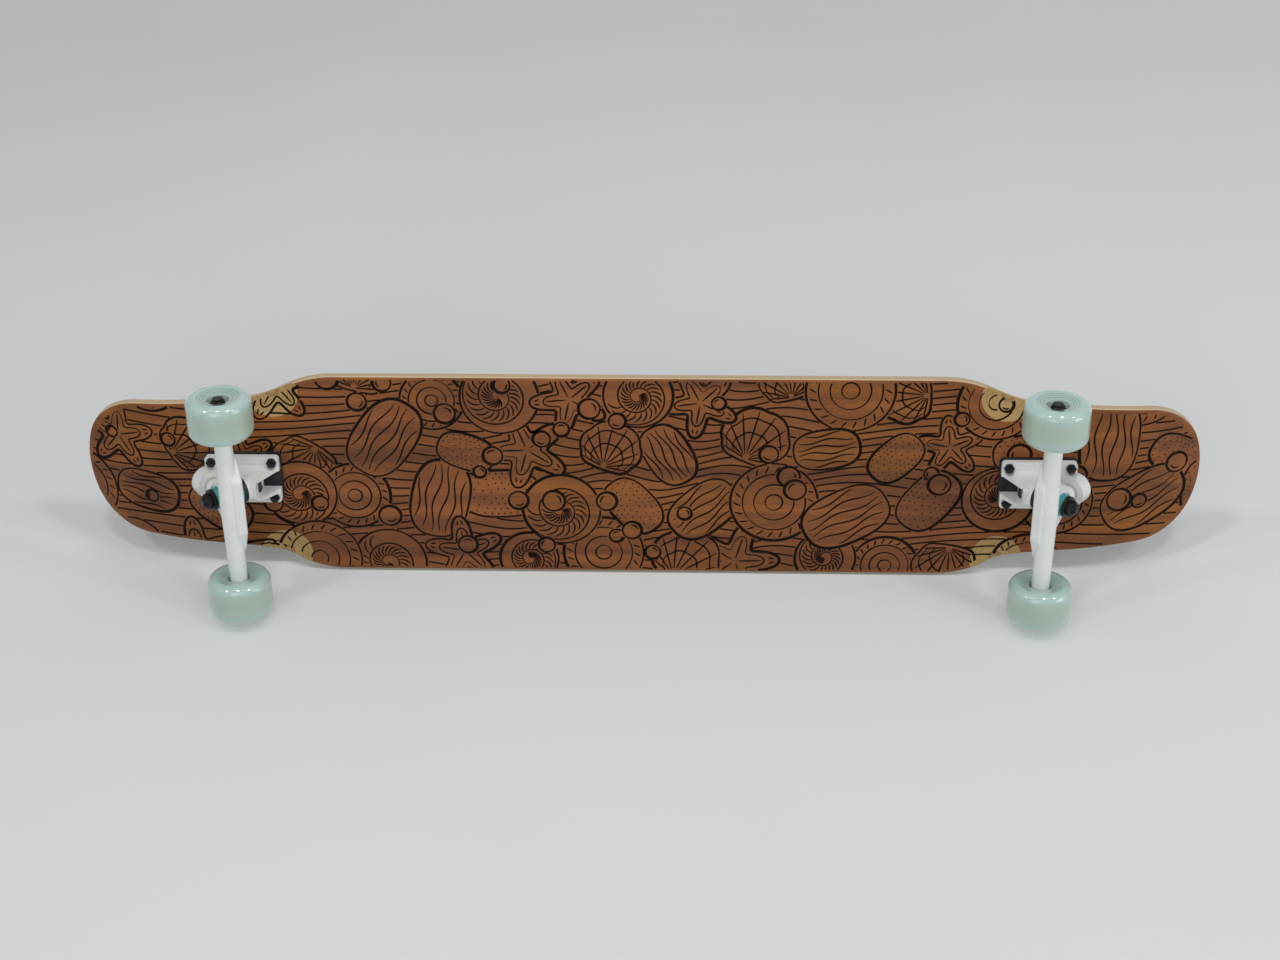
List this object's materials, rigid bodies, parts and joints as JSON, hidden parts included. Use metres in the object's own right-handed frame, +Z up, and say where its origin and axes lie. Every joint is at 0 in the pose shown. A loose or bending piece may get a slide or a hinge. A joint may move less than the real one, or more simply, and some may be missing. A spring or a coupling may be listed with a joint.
{
  "type": "longboard skateboard",
  "caption": "Longboard skateboard with a kicked wooden deck on reverse-kingpin trucks that steer as it leans, with soft urethane wheels on ball bearings.",
  "frame": {"origin": "on the ground, midway between the trucks and on the board's centre line", "axes": "+X along the board to its front, +Y to its left, +Z up from the ground to the deck"},
  "size_m": [1.178, 0.25, 0.1463],
  "materials": {
    "maple_ply": "clear-lacquered maple plies, sanded rails",
    "stained_veneer": "red-brown stained veneer under satin lacquer, printed with black lines",
    "grip": "black mineral grit on film",
    "black_steel": "black oxide",
    "bright_steel": "ground and zinc-plated steel",
    "black_riser": "moulded, matt",
    "white_casting": "white powder coat on cast aluminium",
    "natural_nylon": "moulded",
    "teal_urethane": "cast, satin",
    "mint_urethane": "cast, glossy, slightly see-through",
    "hub_plastic": "moulded",
    "bearing_shield": "pressed, dull"
  },
  "bodies": {
    "deck_assembly": {"deck_core": "maple_ply", "bottom_veneer": "stained_veneer", "grip_tape": "grip", "mounting_bolts": "black_steel", "mounting_nuts": "black_steel", "front_riser_pad": "black_riser", "front_baseplate": "white_casting", "front_pivot_cup": "natural_nylon", "front_kingpin": "black_steel", "front_kingpin_nut": "black_steel", "front_boardside_bushing": "teal_urethane", "front_roadside_bushing": "teal_urethane", "front_boardside_washer": "black_steel", "front_roadside_washer": "black_steel", "rear_riser_pad": "black_riser", "rear_baseplate": "white_casting", "rear_pivot_cup": "natural_nylon", "rear_kingpin": "black_steel", "rear_kingpin_nut": "black_steel", "rear_boardside_bushing": "teal_urethane", "rear_roadside_bushing": "teal_urethane", "rear_boardside_washer": "black_steel", "rear_roadside_washer": "black_steel"},
    "front_truck_hanger": {"front_hanger": "white_casting", "front_axle": "bright_steel", "front_axle_nuts": "black_steel", "front_axle_washers": "bright_steel", "front_bearing_spacers": "bright_steel", "front_bearing_inner_races": "bright_steel"},
    "front_left_wheel": {"front_left_tyre": "mint_urethane", "front_left_wheel_core": "hub_plastic", "front_left_bearing_outer_races": "bright_steel", "front_left_bearing_shields": "bearing_shield"},
    "front_left_ball_train": {"front_left_bearing_balls": "bright_steel", "front_left_bearing_cages": "natural_nylon"},
    "front_right_wheel": {"front_right_tyre": "mint_urethane", "front_right_wheel_core": "hub_plastic", "front_right_bearing_outer_races": "bright_steel", "front_right_bearing_shields": "bearing_shield"},
    "front_right_ball_train": {"front_right_bearing_balls": "bright_steel", "front_right_bearing_cages": "natural_nylon"},
    "rear_truck_hanger": {"rear_hanger": "white_casting", "rear_axle": "bright_steel", "rear_axle_nuts": "black_steel", "rear_axle_washers": "bright_steel", "rear_bearing_spacers": "bright_steel", "rear_bearing_inner_races": "bright_steel"},
    "rear_left_wheel": {"rear_left_tyre": "mint_urethane", "rear_left_wheel_core": "hub_plastic", "rear_left_bearing_outer_races": "bright_steel", "rear_left_bearing_shields": "bearing_shield"},
    "rear_left_ball_train": {"rear_left_bearing_balls": "bright_steel", "rear_left_bearing_cages": "natural_nylon"},
    "rear_right_wheel": {"rear_right_tyre": "mint_urethane", "rear_right_wheel_core": "hub_plastic", "rear_right_bearing_outer_races": "bright_steel", "rear_right_bearing_shields": "bearing_shield"},
    "rear_right_ball_train": {"rear_right_bearing_balls": "bright_steel", "rear_right_bearing_cages": "natural_nylon"}
  },
  "joints": [
    {"name": "front_steer", "type": "hinge", "parent": "deck_assembly", "child": "front_truck_hanger", "pos_m": [0.42562, 0, 0.05614], "axis": [0.6428, 0, 0.766], "range_deg": [-20, 20], "stiffness_Nm_per_rad": 30, "deforming": ["front_boardside_bushing", "front_roadside_bushing"]},
    {"name": "front_left_wheel_spin", "type": "hinge", "parent": "front_truck_hanger", "child": "front_left_wheel", "pos_m": [0.4155, 0.103, 0.033], "axis": [0, 1, 0], "continuous": true},
    {"name": "front_left_ball_spin", "type": "hinge", "parent": "front_truck_hanger", "child": "front_left_ball_train", "pos_m": [0.4155, 0.103, 0.033], "axis": [0, 1, 0], "continuous": true},
    {"name": "front_right_wheel_spin", "type": "hinge", "parent": "front_truck_hanger", "child": "front_right_wheel", "pos_m": [0.4155, -0.103, 0.033], "axis": [0, 1, 0], "continuous": true},
    {"name": "front_right_ball_spin", "type": "hinge", "parent": "front_truck_hanger", "child": "front_right_ball_train", "pos_m": [0.4155, -0.103, 0.033], "axis": [0, 1, 0], "continuous": true},
    {"name": "rear_steer", "type": "hinge", "parent": "deck_assembly", "child": "rear_truck_hanger", "pos_m": [-0.42562, 0, 0.05614], "axis": [-0.6428, 0, 0.766], "range_deg": [-20, 20], "stiffness_Nm_per_rad": 30, "deforming": ["rear_boardside_bushing", "rear_roadside_bushing"]},
    {"name": "rear_left_wheel_spin", "type": "hinge", "parent": "rear_truck_hanger", "child": "rear_left_wheel", "pos_m": [-0.4155, 0.103, 0.033], "axis": [0, 1, 0], "continuous": true},
    {"name": "rear_left_ball_spin", "type": "hinge", "parent": "rear_truck_hanger", "child": "rear_left_ball_train", "pos_m": [-0.4155, 0.103, 0.033], "axis": [0, 1, 0], "continuous": true},
    {"name": "rear_right_wheel_spin", "type": "hinge", "parent": "rear_truck_hanger", "child": "rear_right_wheel", "pos_m": [-0.4155, -0.103, 0.033], "axis": [0, 1, 0], "continuous": true},
    {"name": "rear_right_ball_spin", "type": "hinge", "parent": "rear_truck_hanger", "child": "rear_right_ball_train", "pos_m": [-0.4155, -0.103, 0.033], "axis": [0, 1, 0], "continuous": true}
  ],
  "couplings": [
    {"joint": "front_left_ball_spin", "follows": "front_left_wheel_spin", "ratio": 0.63233},
    {"joint": "front_right_ball_spin", "follows": "front_right_wheel_spin", "ratio": 0.63233},
    {"joint": "rear_left_ball_spin", "follows": "rear_left_wheel_spin", "ratio": 0.63233},
    {"joint": "rear_right_ball_spin", "follows": "rear_right_wheel_spin", "ratio": 0.63233}
  ]
}
